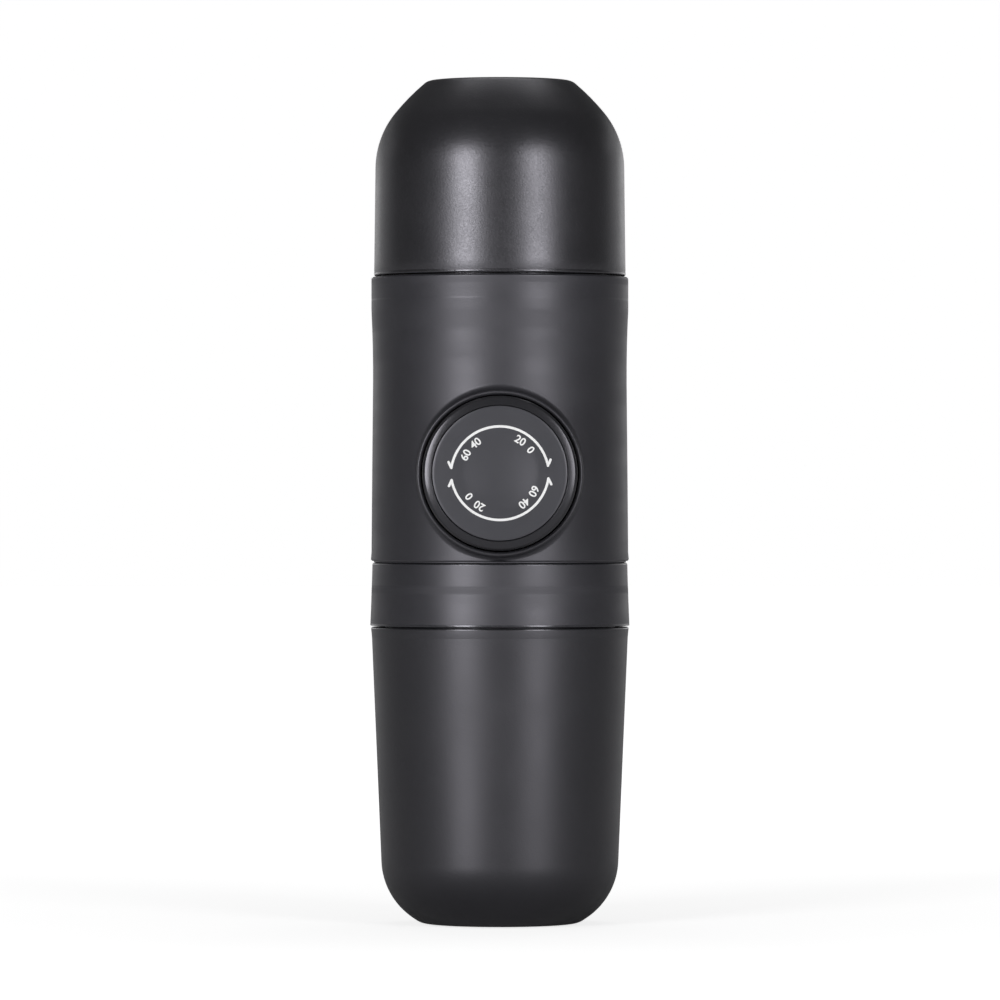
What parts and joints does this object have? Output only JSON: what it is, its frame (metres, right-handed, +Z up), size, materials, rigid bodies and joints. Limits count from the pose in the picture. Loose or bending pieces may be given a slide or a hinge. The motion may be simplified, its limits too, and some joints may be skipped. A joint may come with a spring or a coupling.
{
  "type": "handheld manual espresso maker",
  "caption": "Handheld hand-pumped espresso maker: domed water tank, body with round push knob, screw-on outlet head and a tapered slip-on cup as foot.",
  "frame": {"origin": "centre of the cup's flat base, on the upright axis that the tank, body, head and cup share", "axes": "+Z up towards the tank; the knob faces -Y and is pulled out along -Y; +X to the right as the knob is seen"},
  "size_m": [0.0554, 0.0641, 0.18],
  "materials": {
    "tank_plastic": "satin, fine speckle",
    "body_plastic": "soft touch",
    "cup_plastic": "soft touch",
    "knob_gloss": "polished bevel",
    "knob_print": "fine matt with white print",
    "clear_grey_plastic": "moulded",
    "black_plastic": "moulded",
    "steel": "stainless",
    "silicone": "silicone rubber",
    "seal_rubber": "black rubber"
  },
  "bodies": {
    "main_body": {"body_housing": "body_plastic", "inlet_filter": "steel", "inlet_stem": "clear_grey_plastic", "inlet_valve_spring": "steel", "pump_cylinder": "clear_grey_plastic", "cylinder_plug": "black_plastic", "plug_o_ring": "seal_rubber", "guide_bushing": "black_plastic", "flange_screws": "steel", "return_spring": "steel", "outlet_valve_seat": "clear_grey_plastic", "outlet_valve_spring": "steel", "outlet_stem": "clear_grey_plastic", "lower_neck": "black_plastic", "body_screws": "steel", "shower_screen": "steel", "shower_screw": "steel", "brew_gasket": "silicone"},
    "tank_seal": {"tank_o_ring": "silicone"},
    "tank": {"water_tank": "tank_plastic"},
    "spring_carrier": {"piston_o_rings": "seal_rubber", "thrust_washer": "steel"},
    "knob": {"piston_rod": "black_plastic", "knob_shell": "knob_gloss", "knob_face": "knob_print", "knob_screw": "steel"},
    "inlet_ball": {"inlet_valve_ball": "black_plastic"},
    "outlet_ball": {"outlet_valve_ball": "black_plastic"},
    "basket": {"filter_basket": "black_plastic", "basket_screen": "steel"},
    "head": {"outlet_head": "body_plastic", "outlet_nozzle": "silicone", "cup_grip_ring": "silicone"},
    "cup": {"drinking_cup": "cup_plastic"}
  },
  "joints": [
    {"name": "tank_lift", "type": "slide", "parent": "main_body", "child": "tank_seal", "axis": [0, 0, 1], "range_m": [0, 0.0126]},
    {"name": "tank_turn", "type": "hinge", "parent": "tank_seal", "child": "tank", "pos_m": [0, 0, 0.138], "axis": [0, 0, 1], "range_deg": [0, 225]},
    {"name": "piston_stroke", "type": "slide", "parent": "main_body", "child": "spring_carrier", "axis": [0, -1, 0], "range_m": [0, 0.018], "deforming": ["return_spring"]},
    {"name": "knob_turn", "type": "hinge", "parent": "spring_carrier", "child": "knob", "pos_m": [0, -0.03, 0.096], "axis": [0, -1, 0], "range_deg": [0, 60]},
    {"name": "inlet_valve", "type": "slide", "parent": "main_body", "child": "inlet_ball", "axis": [0, 0, -1], "range_m": [0, 0.0012], "stiffness_N_per_m": 30, "springref_m": -0.003, "deforming": ["inlet_valve_spring"]},
    {"name": "outlet_valve", "type": "slide", "parent": "main_body", "child": "outlet_ball", "axis": [0, 0, -1], "range_m": [0, 0.0012], "stiffness_N_per_m": 30, "springref_m": -0.003, "deforming": ["outlet_valve_spring"]},
    {"name": "head_drop", "type": "slide", "parent": "main_body", "child": "basket", "axis": [0, 0, -1], "range_m": [0, 0.0126]},
    {"name": "head_turn", "type": "hinge", "parent": "basket", "child": "head", "pos_m": [0, 0, 0.07], "axis": [0, 0, -1], "range_deg": [0, 225]},
    {"name": "cup_off", "type": "slide", "parent": "head", "child": "cup", "axis": [0, 0, -1], "range_m": [0, 0.04]}
  ],
  "couplings": [
    {"joint": "tank_lift", "follows": "tank_turn", "m_per_rad": 0.0031831},
    {"joint": "head_drop", "follows": "head_turn", "m_per_rad": 0.0031831}
  ]
}
